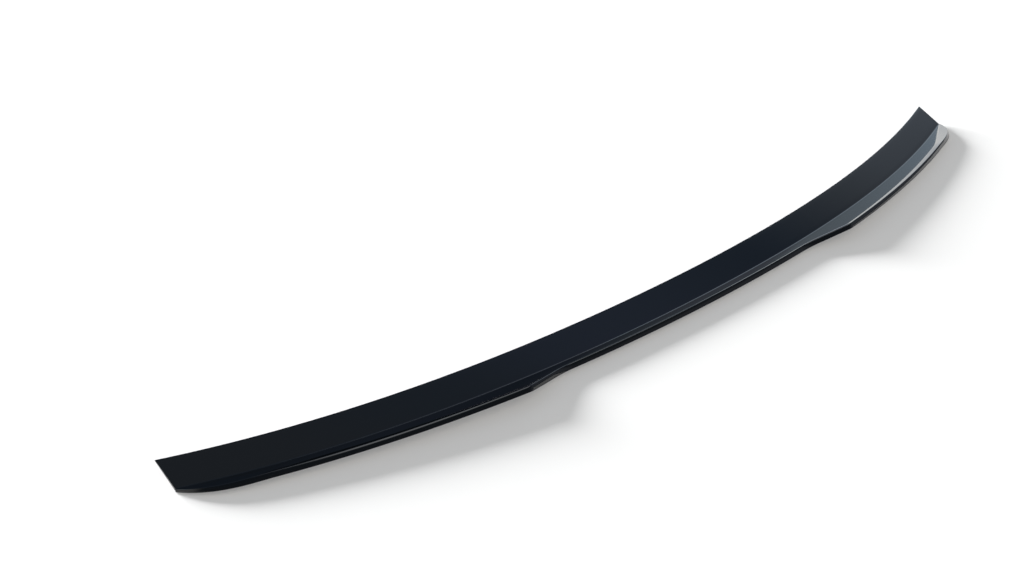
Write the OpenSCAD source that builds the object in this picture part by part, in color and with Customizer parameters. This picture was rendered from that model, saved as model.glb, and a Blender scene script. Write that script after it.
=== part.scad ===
// Rear lip spoiler for a car's boot lid: one moulded shell with a foam bonding tape and its peel-off liner.
// Millimetres. +X to the car's right, +Y forward, +Z up. The lip kicks up at the rear, on the -Y side.
// The origin is the middle of the tape's bonding face, on the symmetry plane.

/* [Overall] */
// Length of the leading edge, across the car
overall_length = 1200; // [1000:10:1400]
// How far the ends of the leading edge sweep forward of its middle
end_sweep = 105; // [60:1:150]
// Share of that sweep that comes late, near the ends
late_sweep = 0.24; // [0:0.02:0.5]
// How much shorter the crease is than the leading edge, at each end
end_rake = 1; // [0:0.5:6]

/* [Bonding band] */
// Width of the band from the leading edge to the crease
band_width = 40.5; // [34:0.5:60]
// Angle of the band, down to the rear, at the middle
middle_band_angle = 20; // [10:1:30]
// Angle of the band at the ends
end_band_angle = 25.5; // [10:0.5:34]
// Crown of the band's outer face
band_crown = 0.3; // [0:0.05:0.8]
// Wall at the leading edge
front_wall = 1.6; // [1.2:0.1:2.5]
// Rounding of the leading edge
nose_round = 0.5; // [0.2:0.05:0.55]
// Wall at the crease
crease_wall = 3.2; // [2.4:0.1:5]
// Reach of the blend in the crease
crease_blend = 1; // [0.5:0.1:1.9]

/* [Lip] */
// Length of the lip from the crease to the rear edge, at the middle
middle_lip = 23.5; // [16:0.5:32]
// Length of the lip at the top of the steps
wing_lip = 48; // [36:1:60]
// Length of the lip where the rounded end corners start
end_lip = 29.5; // [24:0.5:35]
// Angle of the lip's face, up to the rear
lip_angle = 24; // [12:0.5:40]
// Height of the rear edge face
edge_height = 6.6; // [4:0.2:9]
// Lean of the rear edge face, up from square to the lip's face
edge_lean = 3; // [0:0.5:6]
// Crown of the rear edge face
edge_crown = 0.2; // [0:0.05:0.4]
// Rounding of the rear edge's corners
edge_round = 0.6; // [0.3:0.1:1.2]
// Rounding of the ridge between the lip's face and its facet
ridge_round = 0.4; // [0.2:0.1:1]

/* [Steps] */
// Distance from the middle to the foot of each step
step_foot = 193; // [150:1:210]
// Distance from the middle to the top of each step
step_top = 245; // [235:1:320]
// Half length of the soft bend at the foot of the step
foot_bend = 14; // [4:1:22]
// Half length of the tight bend at the top of the step
top_bend = 3; // [1:0.5:8]

/* [Ridge facet] */
// Width of the facet along the rear edge, at the middle
middle_facet = 1.7; // [1:0.1:3]
// Width of the facet at the top of the steps
step_facet = 3; // [2:0.1:6]
// Width of the facet where the ridge turns in towards the crease
turn_facet = 7; // [6:0.1:14]
// Tilt of the facet below the lip's face
facet_tilt = 9; // [4:1:20]
// Distance from each end to the place where the ridge turns in
ridge_turn = 87; // [80:1:110]

/* [Rounded end corners] */
// Length of the rounded corner of the lip at each end
corner_length = 75; // [50:1:82]
// Fullness of the corner's curve
corner_fullness = 3; // [2:0.1:4]
// Lip that is left at the very end
corner_stub = 1.4; // [1:0.1:4]

/* [Tape and liner] */
// Thickness of the foam tape
tape_thickness = 1.1; // [0.8:0.1:2]
// Bare margin of the band in front of the tape
tape_front_margin = 1.5; // [0.5:0.1:4]
// Bare margin between the tape and the crease
tape_crease_margin = 2; // [1.6:0.1:5]
// Bare margin at each end of the tape
tape_end_margin = 2; // [1:0.5:6]
// Width of the peel-off liner
liner_width = 25; // [15:1:32]
// Thickness of the liner
liner_thickness = 0.3; // [0.2:0.05:0.6]
// Distance from each end of the spoiler to the liner's end
liner_end_margin = 11; // [8:1:25]

/* [Hidden] */

half = overall_length / 2;
corner_start = half - corner_length;
turn_start = half - ridge_turn;
stub_face = corner_stub / 2;
step_rise = (wing_lip - middle_lip) / (step_top - step_foot);
wing_fall = (wing_lip - end_lip) / (corner_start - step_top);
edge_angle = lip_angle + edge_lean;

// Places across the band, measured from the crease towards the leading edge
tape_rear = tape_crease_margin;
tape_front = band_width - tape_front_margin;
tape_middle = (tape_rear + tape_front) / 2;
liner_rear = tape_middle - liner_width / 2;
liner_front = tape_middle + liner_width / 2;
BAND_ROWS = [tape_rear, liner_rear, liner_front, tape_front];
// Largest share of a side that a rounding at its end takes
most_cut = 1 / 3;

// How finely the form is drawn: steps of each rounding, and steps along straight, bent and kinked stretches
nose_steps = 2;
crease_steps = 4;
corner_steps = 3;
face_rows = 2;
straight_step = 14;
bend_step = 4;
kink_step = 1.5;

// Evenly spaced places from a up to b, without b itself, at most one step apart
function span(a, b, step) =
    let (count = ceil((b - a) / step))
    [for (i = [0 : count - 1]) a + (b - a) * i / count];
function reversed(list) = [for (i = [len(list) - 1 : -1 : 0]) list[i]];

// Distances from the middle at which the section is drawn, closer together where the outline turns
HALF_STATIONS = concat(
    span(0, step_foot - foot_bend, straight_step),
    span(step_foot - foot_bend, step_foot + foot_bend, bend_step),
    span(step_foot + foot_bend, step_top - top_bend, straight_step),
    span(step_top - top_bend, step_top + top_bend, kink_step),
    span(step_top + top_bend, turn_start, straight_step),
    span(turn_start, corner_start, straight_step),
    span(corner_start, half - liner_end_margin, bend_step),
    span(half - liner_end_margin, half - tape_end_margin, bend_step),
    [half - tape_end_margin, half]
);
STATIONS = concat(
    [for (i = [len(HALF_STATIONS) - 1 : -1 : 1]) -HALF_STATIONS[i]],
    HALF_STATIONS
);

// A ramp that starts at t = 0 with slope 1, with its corner rounded over b to each side
function soft_ramp(t, b) = t <= -b ? 0 : t >= b ? t : (t + b) * (t + b) / (4 * b);

// Share of the end sweep reached at a distance x from the middle, and its slope in plan
function bow(x) = let (u = x / half) (1 - late_sweep) * u ^ 2 + late_sweep * u ^ 4;
function bow_slope(x) =
    let (u = x / half) (2 * (1 - late_sweep) * u + 4 * late_sweep * u ^ 3) * end_sweep / half;
function band_angle(x) = middle_band_angle + (end_band_angle - middle_band_angle) * bow(x);

// The crease is level. The leading edge rises in front of it.
function front_point(x) = [x, end_sweep * bow(x), band_width * sin(band_angle(x))];
function crease_point(x) =
    [x * (half - end_rake) / half, end_sweep * bow(x) - band_width * cos(band_angle(x)), 0];

// A point of the band: along from the crease to the front, and out above the straight chord
function band_point(x, along, out) =
    let (
        crease = crease_point(x),
        chord = (front_point(x) - crease) / band_width,
        normal = [0, -sin(band_angle(x)), cos(band_angle(x))]
    )
    crease + along * chord + out * normal;

// The rearward direction in plan, square to the leading edge
function rearward(x) = let (s = bow_slope(x)) [s, -1, 0] / norm([s, -1, 0]);

// A point behind the crease: r to the rear and z above the crease
function lip_point(x, p) = crease_point(x) + p[0] * rearward(x) + [0, 0, p[1]];
function ray(angle) = [cos(angle), sin(angle)];

// Length of the whole lip and of its face below the ridge, at a distance s from the middle
function straight_lip(s) =
    middle_lip + step_rise * soft_ramp(s - step_foot, foot_bend)
    - (step_rise + wing_fall) * soft_ramp(s - step_top, top_bend);
function lip_length(s) =
    s <= corner_start ? straight_lip(s)
    : corner_stub + (straight_lip(s) - corner_stub)
        * (1 - ((s - corner_start) / corner_length) ^ corner_fullness);
function facet_width(s) =
    s <= step_foot ? middle_facet
    : s <= step_top ? middle_facet + (step_facet - middle_facet) * (s - step_foot) / (step_top - step_foot)
    : step_facet + (turn_facet - step_facet) * (s - step_top) / (turn_start - step_top);
turn_face = straight_lip(turn_start) - turn_facet;
function face_length(s) =
    s <= turn_start ? lip_length(s) - facet_width(s)
    : stub_face + (turn_face - stub_face) * (half - s) / ridge_turn;

// Height of the rear edge face, which thins towards the crease's wall in the rounded corner
function edge_drop(s) =
    s <= corner_start ? edge_height
    : edge_height + (crease_wall - edge_height) * ((s - corner_start) / corner_length) ^ 2;

// A rounded corner from one point to another, as a curve that the corner pulls towards itself
function rounding(start, corner, end, steps) =
    [for (i = [0 : steps]) let (t = i / steps) (1 - t) ^ 2 * start + 2 * t * (1 - t) * corner + t ^ 2 * end];

// The point at a distance from one point towards another, and no further than the largest cut
function towards(from, to, distance) =
    let (length = norm(to - from)) from + min(distance, most_cut * length) / length * (to - from);
function eased(before, corner, after, reach) =
    rounding(towards(corner, before, reach), corner, towards(corner, after, reach), corner_steps);

// Points of the rear edge face between its two corners, bulging out by its crown
function crowned(edge, foot, drop) =
    [for (i = [1 : face_rows])
        let (t = i / (face_rows + 1), out = 4 * t * (1 - t) * edge_crown * drop / edge_height)
        edge + t * (foot - edge) + out * ray(edge_angle)];

// The rear half of the section, as [r, z] behind the crease: ridge, edge face and underside of the lip.
// The underside has one row for each point of the ridge's rounding.
function lip_profile(x) =
    let (
        s = abs(x),
        face = face_length(s),
        drop = edge_drop(s),
        ridge = face * ray(lip_angle),
        edge = ridge + (lip_length(s) - face) * ray(lip_angle - facet_tilt),
        foot = edge + drop * [sin(edge_angle), -cos(edge_angle)],
        root = [0, -crease_wall],
        under_start = towards(foot, root, edge_round),
        under_end = towards(root, foot, crease_blend),
        rows = corner_steps + 1
    )
    concat(
        [towards([0, 0], ridge, crease_blend)],
        eased([0, 0], ridge, edge, ridge_round),
        eased(ridge, edge, foot, edge_round),
        crowned(edge, foot, drop),
        eased(edge, foot, root, edge_round),
        [for (i = [1 : rows]) under_start + (under_end - under_start) * i / (rows + 1)],
        [under_end]
    );

// Thickness of the band at a place along its width
function band_wall(along) = crease_wall + (front_wall - crease_wall) * along / band_width;
function crown(along) = 4 * band_crown * along * (band_width - along) / band_width ^ 2;
function under_point(x, along, below) = band_point(x, along, -band_wall(along) - below);

// The whole section: outer face from the leading edge to the rear, then the underside back to the front
function shell_section(x) =
    let (
        lip = [for (p = lip_profile(x)) lip_point(x, p)],
        lip_start = lip[0],
        lip_end = lip[len(lip) - 1],
        inner_lip = [for (i = [1 : len(lip) - 2]) lip[i]],
        band_end = band_point(x, crease_blend, crown(crease_blend)),
        root = lip_point(x, [0, -crease_wall]),
        nose_top = band_point(x, band_width, 0),
        nose_bottom = band_point(x, band_width, -front_wall)
    )
    concat(
        rounding(
            band_point(x, band_width, -nose_round), nose_top,
            band_point(x, band_width - nose_round, 0), nose_steps
        ),
        [for (along = reversed(BAND_ROWS)) band_point(x, along, crown(along))],
        rounding(band_end, crease_point(x), lip_start, crease_steps),
        inner_lip,
        rounding(lip_end, root, under_point(x, crease_blend, 0), crease_steps),
        [for (along = BAND_ROWS) under_point(x, along, 0)],
        rounding(
            under_point(x, band_width - nose_round, 0), nose_bottom,
            band_point(x, band_width, nose_round - front_wall), nose_steps
        )
    );

// The tape's section: the face on the shell towards the front, then the bonding face back to the rear
function tape_section(x) = concat(
    [for (along = BAND_ROWS) under_point(x, along, 0)],
    [for (along = reversed(BAND_ROWS)) under_point(x, along, tape_thickness)]
);

// The liner's section: the face on the tape from the front to the rear, then the outer face back to the front
function liner_section(x) = [
    under_point(x, liner_front, tape_thickness),
    under_point(x, liner_rear, tape_thickness),
    under_point(x, liner_rear, tape_thickness + liner_thickness),
    under_point(x, liner_front, tape_thickness + liner_thickness)
];

// Two triangles for the four corners a, b, c, d, turned over where the section runs the other way round
function two_triangles(a, b, c, d, turned) = turned ? [[a, c, b], [a, d, c]] : [[a, b, c], [a, c, d]];

// A closed skin through sections of n points each. Point k of a section lies across from point n - 1 - k.
module loft(sections, turned = false) {
    n = len(sections[0]);
    last = len(sections) - 1;
    sides = [for (i = [0 : last - 1], k = [0 : n - 1])
        let (this = i * n, next = (i + 1) * n, beside = (k + 1) % n)
        each two_triangles(this + k, next + k, next + beside, this + beside, turned)];
    ends = [for (k = [0 : n / 2 - 2])
        each concat(
            two_triangles(k, k + 1, n - 2 - k, n - 1 - k, turned),
            two_triangles(last * n + k, last * n + k + 1, last * n + n - 2 - k, last * n + n - 1 - k, !turned)
        )];
    polyhedron([for (section = sections) each section], concat(sides, ends));
}

// The middle of the bonding face, which is the part's origin
bond_centre = under_point(0, tape_middle, tape_thickness);

module spoiler_shell() {
    color([0.03, 0.035, 0.042])
        translate(-bond_centre)
            loft([for (x = STATIONS) shell_section(x)]);
}

module foam_tape() {
    color([0.8, 0.8, 0.81])
        translate(-bond_centre)
            loft([for (x = STATIONS) if (abs(x) <= half - tape_end_margin) tape_section(x)], true);
}

module release_liner() {
    color([0.86, 0.13, 0.17])
        translate(-bond_centre)
            loft([for (x = STATIONS) if (abs(x) <= half - liner_end_margin) liner_section(x)]);
}

spoiler_shell();
foam_tape();
release_liner();
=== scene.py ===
# Studio scene for a car's rear lip spoiler: gloss black shell, foam bonding tape and red peel-off liner.
import math

import bmesh
import bpy
from mathutils import Matrix, Vector


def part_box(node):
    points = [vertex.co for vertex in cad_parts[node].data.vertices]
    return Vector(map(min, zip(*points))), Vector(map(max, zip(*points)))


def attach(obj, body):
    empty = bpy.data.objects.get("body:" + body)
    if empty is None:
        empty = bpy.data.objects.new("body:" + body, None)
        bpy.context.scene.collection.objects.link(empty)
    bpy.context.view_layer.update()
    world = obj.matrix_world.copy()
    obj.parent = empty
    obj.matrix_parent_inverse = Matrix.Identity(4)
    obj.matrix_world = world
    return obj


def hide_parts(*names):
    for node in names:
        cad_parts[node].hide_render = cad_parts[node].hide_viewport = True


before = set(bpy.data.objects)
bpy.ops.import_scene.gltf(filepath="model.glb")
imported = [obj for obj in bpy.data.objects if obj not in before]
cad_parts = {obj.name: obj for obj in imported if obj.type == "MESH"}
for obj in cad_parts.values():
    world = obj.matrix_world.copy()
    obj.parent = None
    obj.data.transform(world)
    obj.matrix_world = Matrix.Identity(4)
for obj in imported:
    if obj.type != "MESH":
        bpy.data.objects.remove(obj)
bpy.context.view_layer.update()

# Camera that matches the photograph, in the part's own frame: metres, degrees, and millimetres for the lens
CAMERA_PLACE = (-0.97277, -1.07792, 0.81510)
CAMERA_AZIMUTH = -34.746
CAMERA_ELEVATION = 28.493
CAMERA_ROLL = -6.382
LENS_MM = 50.0
SENSOR_MM = 36.0
FARTHEST_SEEN = 1000.0

# Mesh finishing, in metres and degrees: corners this close are one, and edges over this angle stay sharp
WELD = 1e-6
SHARP_ANGLE = 58.0
# How far two triangles may be from flat, and their quad's corners from square, to be joined
FLAT_ANGLE = 5.0
SQUARE_ANGLE = 60.0
# The foam strip's cut edges: size, steps and the profile value that makes them round
STRIP_ROUNDING = 0.0003
ROUNDING_STEPS = 3
ROUND_PROFILE = 0.5

# Values between which most of a noise lies
NOISE_SPAN = (0.3, 0.7)
# Materials in linear colour, with heights in metres. Each noise has its repeats per metre, its detail and,
# where it isn't 0.5, its roughness.
# Gloss black: faint smears vary its roughness, and low waves bend what it mirrors a little
BLACK = (0.0008, 0.0011, 0.0015, 1)
BLACK_INDEX = 1.5
BLACK_ROUGHNESS = (0.04, 0.08)
BLACK_SMEARS = (9, 4.0, 0.6)
BLACK_WAVES = (120, 1.0)
BLACK_WAVE_HEIGHT = 0.000004
# Foam: two close greys in soft patches, and cells about half a millimetre across
FOAM_DARK = (0.52, 0.52, 0.53, 1)
FOAM_LIGHT = (0.62, 0.62, 0.63, 1)
FOAM_PATCHES = (60, 3.0)
FOAM_ROUGHNESS = 0.85
FOAM_SPECULAR = 0.3
FOAM_CELLS = 2200
FOAM_CELL_DEPTH = 0.00008
FOAM_CELL_STRENGTH = 0.6
# Red film: fine lines along the part, by their repeats per metre along X, Y and Z, over slow waves
LINER_RED = (0.72, 0.04, 0.055, 1)
LINER_SPECULAR = 0.35
LINER_ROUGHNESS = (0.34, 0.52)
LINER_LINES = (6, 900, 900)
LINER_LINE_DETAIL = 2.0
LINER_LINE_HEIGHT = 0.00001
LINER_WAVES = (25, 3.0)
LINER_WAVE_HEIGHT = 0.0002
LINER_BUMP_STRENGTH = 0.5
# Places of the two colours and of the result on a Mix node, whose sockets share their names
MIX_FIRST = 6
MIX_SECOND = 7
MIX_RESULT = 2

# The room's linear colour by the height of a direction, from 0 at the horizon to 1 overhead
ROOM = (
    (0.0, (0.12, 0.14, 0.16)),
    (0.25, (0.12, 0.14, 0.17)),
    (0.6, (0.10, 0.13, 0.17)),
    (0.72, (0.15, 0.21, 0.31)),
    (0.85, (0.24, 0.31, 0.46)),
    (0.93, (0.20, 0.26, 0.35)),
    (1.0, (0.24, 0.28, 0.34)),
)
# Soft patches in the room, light or dark. Each has the azimuth and elevation of its middle, its half width
# and half height, and where its edge starts and ends, in shares of those. Angles are in degrees.
GLOW = ((54, 25), (24, 18.5), (0.65, 1.35))
GLOW_COLOUR = (0.59, 0.68, 0.81)
REAR_GLOW = ((127, 9), (33, 10), (0.2, 1.3))
REAR_GLOW_COLOUR = (0.29, 0.32, 0.37)
LEFT_GLOW = ((-85, 13), (14, 17), (0.3, 1.5))
LEFT_GLOW_COLOUR = (0.80, 0.80, 0.78)
SHADE = ((12, 3), (20, 14), (0.8, 1.25))
SHADE_COLOUR = (0.008, 0.009, 0.012)
CEILING_PANEL = ((166, 46), (26, 16), (0.8, 1.2))
PANEL_COLOUR = (2.75, 2.85, 2.95)
WINDOW = ((56.3, 18.0), (19, 15.2), (0.94, 1.06))
SIDE_WINDOW = ((-62, 24), (16, 14), (0.8, 1.3))
# A window's linear light by the height in it, from 0 at its foot to 1 at its head
WINDOW_LIGHT = (
    (0.12, (2.5, 2.5, 2.45)),
    (0.34, (1.40, 1.52, 1.66)),
    (0.5, (0.97, 1.22, 1.48)),
    (0.85, (1.05, 1.28, 1.48)),
    (1.0, (1.05, 1.25, 1.42)),
)
# Power that rounds a patch's corners: 2 gives an ellipse, and more comes closer to a rectangle
CORNER_POWER = 4

# Lamps far away: colour, azimuth, elevation, strength and spread, with angles in degrees. The low one lights
# the floor alone and draws the long shadow, and the high one lights the part at a plain level.
SHADOW_LAMP = ((0.90, 1.0, 1.15), -8, 12.5, 20.7, 24)
PART_LAMP = ((1.0, 1.0, 1.0), -8, 45, 2.4, 30)

# The floor's width in metres. The low lamp lights its warm grey up to white, and the grey's warmth makes up
# for the cool light of the lamp and the room. The lift is what the eye sees of the floor besides that light.
FLOOR_SIZE = 400.0
FLOOR_COLOUR = (0.443, 0.40, 0.347)
FLOOR_LIFT = (0.27, 0.27, 0.27)
FLOOR_ROUGHNESS = 0.9


def photo_camera():
    """Camera at the photograph's place, with the photograph's slight roll."""
    azimuth = math.radians(CAMERA_AZIMUTH)
    elevation = math.radians(CAMERA_ELEVATION)
    right = Vector((math.cos(azimuth), math.sin(azimuth), 0))
    flat = math.cos(elevation)
    back = Vector((math.sin(azimuth) * flat, -math.cos(azimuth) * flat, math.sin(elevation)))
    up = back.cross(right)
    level = Matrix((right, up, back)).transposed()
    turned = level @ Matrix.Rotation(math.radians(CAMERA_ROLL), 3, "Z")
    data = bpy.data.cameras.new("camera")
    data.lens = LENS_MM
    data.sensor_width = SENSOR_MM
    data.clip_end = FARTHEST_SEEN
    camera = bpy.data.objects.new("camera", data)
    bpy.context.scene.collection.objects.link(camera)
    camera.matrix_world = Matrix.Translation(CAMERA_PLACE) @ turned.to_4x4()
    bpy.context.scene.camera = camera


class Nodes:
    """A node tree, with short calls to add, set and join its nodes."""

    def __init__(self, tree):
        self.tree = tree
        tree.nodes.clear()

    def add(self, kind, **values):
        node = self.tree.nodes.new(kind)
        for name, value in values.items():
            setattr(node, name, value)
        return node

    def put(self, node, **inputs):
        for name, value in inputs.items():
            self.feed(value, node.inputs[name.replace("_", " ")])

    def feed(self, value, socket):
        if isinstance(value, bpy.types.NodeSocket):
            self.link(value, socket)
        else:
            socket.default_value = value

    def link(self, source, target):
        self.tree.links.new(source, target)


def new_material(name):
    material = bpy.data.materials.new(name)
    material.use_nodes = True
    return material, Nodes(material.node_tree)


def end_material(nodes, surface):
    nodes.link(surface, nodes.add("ShaderNodeOutputMaterial").inputs["Surface"])


def object_place(nodes):
    return nodes.add("ShaderNodeTexCoord").outputs["Object"]


def object_noise(nodes, scale, detail, roughness=0.5):
    noise = nodes.add("ShaderNodeTexNoise")
    nodes.put(noise, Vector=object_place(nodes), Scale=scale, Detail=detail, Roughness=roughness)
    return noise.outputs["Fac"]


def spread_noise(nodes, noise, low, high):
    """A noise's usual values, spread over the range from low to high."""
    least, most = NOISE_SPAN
    node = nodes.add("ShaderNodeMapRange")
    nodes.put(node, Value=noise, From_Min=least, From_Max=most, To_Min=low, To_Max=high)
    return node.outputs["Result"]


def bump(nodes, height, distance, strength=1.0):
    node = nodes.add("ShaderNodeBump")
    nodes.put(node, Height=height, Distance=distance, Strength=strength)
    return node


def maths(nodes, operation, *values):
    """Result of a Math node on sockets or plain numbers."""
    node = nodes.add("ShaderNodeMath", operation=operation)
    for value, socket in zip(values, node.inputs):
        nodes.feed(value, socket)
    return node.outputs["Value"]


def dot(nodes, vector, axis):
    node = nodes.add("ShaderNodeVectorMath", operation="DOT_PRODUCT")
    nodes.link(vector, node.inputs[0])
    node.inputs[1].default_value = axis
    return node.outputs["Value"]


def over(nodes, below, share, above):
    """One shader over another, by the share of the upper one."""
    mix = nodes.add("ShaderNodeMixShader")
    nodes.link(share, mix.inputs[0])
    nodes.link(below, mix.inputs[1])
    nodes.link(above, mix.inputs[2])
    return mix.outputs["Shader"]


def gloss_black():
    material, nodes = new_material("gloss_black_abs")
    smears = object_noise(nodes, *BLACK_SMEARS)
    waves = bump(nodes, object_noise(nodes, *BLACK_WAVES), BLACK_WAVE_HEIGHT)
    shader = nodes.add("ShaderNodeBsdfPrincipled")
    nodes.put(shader, Base_Color=BLACK, IOR=BLACK_INDEX)
    nodes.put(shader, Roughness=spread_noise(nodes, smears, *BLACK_ROUGHNESS))
    nodes.put(shader, Normal=waves.outputs["Normal"])
    end_material(nodes, shader.outputs["BSDF"])
    return material


def foam_greys(nodes):
    """The foam's two greys, mixed in soft patches."""
    tint = nodes.add("ShaderNodeMix", data_type="RGBA")
    nodes.link(object_noise(nodes, *FOAM_PATCHES), tint.inputs["Factor"])
    tint.inputs[MIX_FIRST].default_value = FOAM_DARK
    tint.inputs[MIX_SECOND].default_value = FOAM_LIGHT
    return tint.outputs[MIX_RESULT]


def foam_grey():
    material, nodes = new_material("foam_grey_acrylic")
    cells = nodes.add("ShaderNodeTexVoronoi")
    nodes.put(cells, Vector=object_place(nodes), Scale=FOAM_CELLS)
    pores = bump(nodes, cells.outputs["Distance"], FOAM_CELL_DEPTH, FOAM_CELL_STRENGTH)
    shader = nodes.add("ShaderNodeBsdfPrincipled")
    nodes.put(shader, Base_Color=foam_greys(nodes), Normal=pores.outputs["Normal"])
    nodes.put(shader, Roughness=FOAM_ROUGHNESS, Specular_IOR_Level=FOAM_SPECULAR)
    end_material(nodes, shader.outputs["BSDF"])
    return material


def film_lines(nodes):
    """Noise that is drawn out into lines along the part."""
    drawn = nodes.add("ShaderNodeMapping")
    nodes.put(drawn, Vector=object_place(nodes), Scale=LINER_LINES)
    lines = nodes.add("ShaderNodeTexNoise")
    nodes.put(lines, Vector=drawn.outputs["Vector"], Scale=1.0, Detail=LINER_LINE_DETAIL)
    return lines.outputs["Fac"]


def liner_red():
    material, nodes = new_material("liner_red_film")
    lines = film_lines(nodes)
    waves = bump(nodes, object_noise(nodes, *LINER_WAVES), LINER_WAVE_HEIGHT, LINER_BUMP_STRENGTH)
    relief = bump(nodes, lines, LINER_LINE_HEIGHT, LINER_BUMP_STRENGTH)
    nodes.put(relief, Normal=waves.outputs["Normal"])
    shader = nodes.add("ShaderNodeBsdfPrincipled")
    nodes.put(shader, Base_Color=LINER_RED, Specular_IOR_Level=LINER_SPECULAR)
    nodes.put(shader, Roughness=spread_noise(nodes, lines, *LINER_ROUGHNESS))
    nodes.put(shader, Normal=relief.outputs["Normal"])
    end_material(nodes, shader.outputs["BSDF"])
    return material


def paint(obj, material):
    obj.data.materials.clear()
    obj.data.materials.append(material)


def smoothing_group():
    """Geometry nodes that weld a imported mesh's split corners and shade its small roundings smooth."""
    group = bpy.data.node_groups.new("smooth_shading", "GeometryNodeTree")
    group.interface.new_socket("Geometry", in_out="INPUT", socket_type="NodeSocketGeometry")
    group.interface.new_socket("Geometry", in_out="OUTPUT", socket_type="NodeSocketGeometry")
    nodes = Nodes(group)
    start = nodes.add("NodeGroupInput")
    weld = nodes.add("GeometryNodeMergeByDistance")
    nodes.put(weld, Geometry=start.outputs["Geometry"], Distance=WELD)
    faces = nodes.add("GeometryNodeSetShadeSmooth", domain="FACE")
    nodes.put(faces, Geometry=weld.outputs["Geometry"], Shade_Smooth=True)
    angle = nodes.add("GeometryNodeInputMeshEdgeAngle")
    sharp = nodes.add("FunctionNodeCompare", data_type="FLOAT", operation="GREATER_THAN")
    nodes.put(sharp, A=angle.outputs["Unsigned Angle"], B=math.radians(SHARP_ANGLE))
    edges = nodes.add("GeometryNodeSetShadeSmooth", domain="EDGE")
    nodes.put(edges, Geometry=faces.outputs["Geometry"], Selection=sharp.outputs["Result"])
    nodes.put(edges, Shade_Smooth=False)
    nodes.put(nodes.add("NodeGroupOutput"), Geometry=edges.outputs["Geometry"])
    return group


def shade_smooth(node, group):
    """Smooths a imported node's shading, with normals that lean to its large faces."""
    node.modifiers.new("smooth", "NODES").node_group = group
    weighted = node.modifiers.new("weighted", "WEIGHTED_NORMAL")
    weighted.keep_sharp = True
    weighted.mode = "FACE_AREA_WITH_ANGLE"


def soften(form):
    """Turns a bmesh's triangles into quads and rounds its cut edges over."""
    bmesh.ops.remove_doubles(form, verts=form.verts, dist=WELD)
    bmesh.ops.join_triangles(
        form,
        faces=form.faces,
        angle_face_threshold=math.radians(FLAT_ANGLE),
        angle_shape_threshold=math.radians(SQUARE_ANGLE),
    )
    bmesh.ops.bevel(
        form,
        geom=[edge for edge in form.edges if edge.calc_face_angle(0) > math.radians(SHARP_ANGLE)],
        offset=STRIP_ROUNDING,
        segments=ROUNDING_STEPS,
        profile=ROUND_PROFILE,
        affect="EDGES",
        clamp_overlap=True,
    )
    for face in form.faces:
        face.smooth = True


def foam_strip(tape):
    """The foam tape as one soft strip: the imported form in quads, with its cut edges rounded over."""
    mesh = tape.data.copy()
    mesh.name = "foam_strip"
    form = bmesh.new()
    form.from_mesh(mesh)
    soften(form)
    form.to_mesh(mesh)
    form.free()
    strip = bpy.data.objects.new("foam_strip", mesh)
    bpy.context.scene.collection.objects.link(strip)
    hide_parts("foam_tape")
    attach(strip, "root")
    return strip


def seen_directly(nodes):
    """1 for camera, glossy and transmission rays, and 0 for all others."""
    light = nodes.add("ShaderNodeLightPath")
    mirrored = maths(nodes, "MAXIMUM", light.outputs["Is Camera Ray"], light.outputs["Is Glossy Ray"])
    return maths(nodes, "MAXIMUM", mirrored, light.outputs["Is Transmission Ray"])


def floor_white():
    """Plain floor with its lift, which can be seen through from below."""
    material, nodes = new_material("floor_white")
    shader = nodes.add("ShaderNodeBsdfPrincipled")
    nodes.put(shader, Base_Color=(*FLOOR_COLOUR, 1), Roughness=FLOOR_ROUGHNESS, Specular_IOR_Level=0.0)
    nodes.put(shader, Emission_Color=(*FLOOR_LIFT, 1), Emission_Strength=seen_directly(nodes))
    clear = nodes.add("ShaderNodeBsdfTransparent")
    side = nodes.add("ShaderNodeNewGeometry")
    surface = over(nodes, shader.outputs["BSDF"], side.outputs["Backfacing"], clear.outputs["BSDF"])
    end_material(nodes, surface)
    return material


def studio_floor(level):
    """Large plain floor at a height, which keeps the part's shadow."""
    half = FLOOR_SIZE / 2
    corners = [(-half, -half, 0), (half, -half, 0), (half, half, 0), (-half, half, 0)]
    mesh = bpy.data.meshes.new("floor")
    mesh.from_pydata(corners, [], [(0, 1, 2, 3)])
    floor = bpy.data.objects.new("floor", mesh)
    bpy.context.scene.collection.objects.link(floor)
    floor.location.z = level
    paint(floor, floor_white())
    return floor


def aim(azimuth, elevation):
    """Unit vector towards an azimuth from +Y, positive to +X, and an elevation, in degrees."""
    turn = math.radians(azimuth)
    rise = math.radians(elevation)
    return Vector((math.sin(turn) * math.cos(rise), math.cos(turn) * math.cos(rise), math.sin(rise)))


def plain_light(nodes, colour):
    background = nodes.add("ShaderNodeBackground")
    background.inputs["Color"].default_value = (*colour, 1)
    return background.outputs["Background"]


def light_ramp(nodes, factor, stops, interpolation):
    """Light whose linear colour follows the factor. Its strength keeps every stop's colour at 1 or below."""
    brightest = max(max(colour) for _, colour in stops)
    ramp = nodes.add("ShaderNodeValToRGB")
    nodes.link(factor, ramp.inputs["Fac"])
    ramp.color_ramp.interpolation = interpolation
    elements = ramp.color_ramp.elements
    while len(elements) < len(stops):
        elements.new(1.0)
    for element, (place, colour) in zip(elements, stops):
        element.position = place
        element.color = (*[part / brightest for part in colour], 1)
    background = nodes.add("ShaderNodeBackground")
    nodes.put(background, Color=ramp.outputs["Color"], Strength=brightest)
    return background.outputs["Background"]


def reach_along(nodes, direction, axis, ahead, half_angle):
    """How far a direction lies from a patch's middle along an axis, where the patch's side is at 1."""
    slope = maths(nodes, "DIVIDE", dot(nodes, direction, axis), ahead)
    return maths(nodes, "DIVIDE", slope, math.tan(math.radians(half_angle)))


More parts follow.
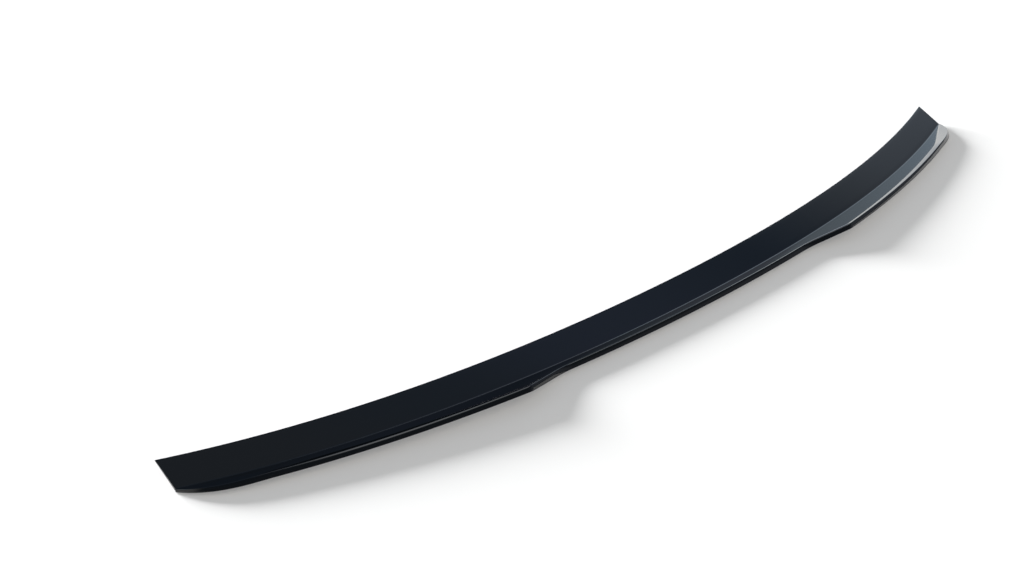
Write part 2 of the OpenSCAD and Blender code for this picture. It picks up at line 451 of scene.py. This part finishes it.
def rounded_reach(nodes, across, upward):
    """Both reaches as one, which is 1 all along a rectangle with rounded corners."""
    sides = [maths(nodes, "ABSOLUTE", reach) for reach in (across, upward)]
    powers = [maths(nodes, "POWER", side, CORNER_POWER) for side in sides]
    return maths(nodes, "POWER", maths(nodes, "ADD", *powers), 1 / CORNER_POWER)


def patch(nodes, direction, middle, half_size, edge):
    """Share of a soft, rounded patch at a direction, and the direction's height in it from -1 to 1."""
    centre = aim(*middle)
    side = Vector((0, 0, 1)).cross(centre).normalized()
    rise = centre.cross(side)
    ahead = dot(nodes, direction, centre)
    half_width, half_height = half_size
    across = reach_along(nodes, direction, side, ahead, half_width)
    upward = reach_along(nodes, direction, rise, ahead, half_height)
    edge_start, edge_end = edge
    inside = nodes.add("ShaderNodeMapRange", interpolation_type="SMOOTHSTEP")
    nodes.put(inside, Value=rounded_reach(nodes, across, upward), To_Min=1.0, To_Max=0.0)
    nodes.put(inside, From_Min=edge_start, From_Max=edge_end)
    in_front = maths(nodes, "GREATER_THAN", ahead, 0.0)
    return maths(nodes, "MULTIPLY", inside.outputs["Result"], in_front), upward


def window(nodes, below, direction, values):
    """A window over the light below it, brightest at its foot."""
    share, upward = patch(nodes, direction, *values)
    # The height in the window, now from 0 at its foot to 1 at its head
    height = maths(nodes, "MULTIPLY_ADD", upward, 0.5, 0.5)
    return over(nodes, below, share, light_ramp(nodes, height, WINDOW_LIGHT, "LINEAR"))


def studio_world():
    """Dim blue-grey room with a few large soft windows, so that gloss black stays black."""
    world = bpy.data.worlds.new("studio")
    world.use_nodes = True
    bpy.context.scene.world = world
    nodes = Nodes(world.node_tree)
    direction = nodes.add("ShaderNodeTexCoord").outputs["Generated"]
    light = light_ramp(nodes, dot(nodes, direction, (0, 0, 1)), ROOM, "EASE")
    for values, colour in (
        (GLOW, GLOW_COLOUR),
        (REAR_GLOW, REAR_GLOW_COLOUR),
        (LEFT_GLOW, LEFT_GLOW_COLOUR),
        (SHADE, SHADE_COLOUR),
        (CEILING_PANEL, PANEL_COLOUR),
    ):
        share, _ = patch(nodes, direction, *values)
        light = over(nodes, light, share, plain_light(nodes, colour))
    for values in (WINDOW, SIDE_WINDOW):
        light = window(nodes, light, direction, values)
    nodes.link(light, nodes.add("ShaderNodeOutputWorld").inputs["Surface"])


def distant_lamp(name, lit, colour, azimuth, elevation, strength, spread):
    """Even, soft light from far away on the given objects alone. The gloss doesn't mirror it."""
    data = bpy.data.lights.new(name, "SUN")
    data.color = colour
    data.energy = strength
    data.angle = math.radians(spread)
    lamp = bpy.data.objects.new(name, data)
    bpy.context.scene.collection.objects.link(lamp)
    lamp.visible_glossy = False
    receivers = bpy.data.collections.new(name + "_receivers")
    for obj in lit:
        receivers.objects.link(obj)
    lamp.light_linking.receiver_collection = receivers
    lamp.rotation_mode = "QUATERNION"
    lamp.rotation_quaternion = aim(azimuth, elevation).to_track_quat("Z", "Y")


bpy.context.scene.view_settings.view_transform = "Standard"
photo_camera()
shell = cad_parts["spoiler_shell"]
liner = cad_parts["release_liner"]
strip = foam_strip(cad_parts["foam_tape"])
smoothing = smoothing_group()
shade_smooth(shell, smoothing)
shade_smooth(liner, smoothing)
paint(shell, gloss_black())
paint(strip, foam_grey())
paint(liner, liner_red())
# The floor is at the tape's lowest edge, which is the lowest place of the whole part
floor = studio_floor(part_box("foam_tape")[0].z)
studio_world()
distant_lamp("shadow_lamp", [floor], *SHADOW_LAMP)
distant_lamp("part_lamp", [shell, strip, liner], *PART_LAMP)
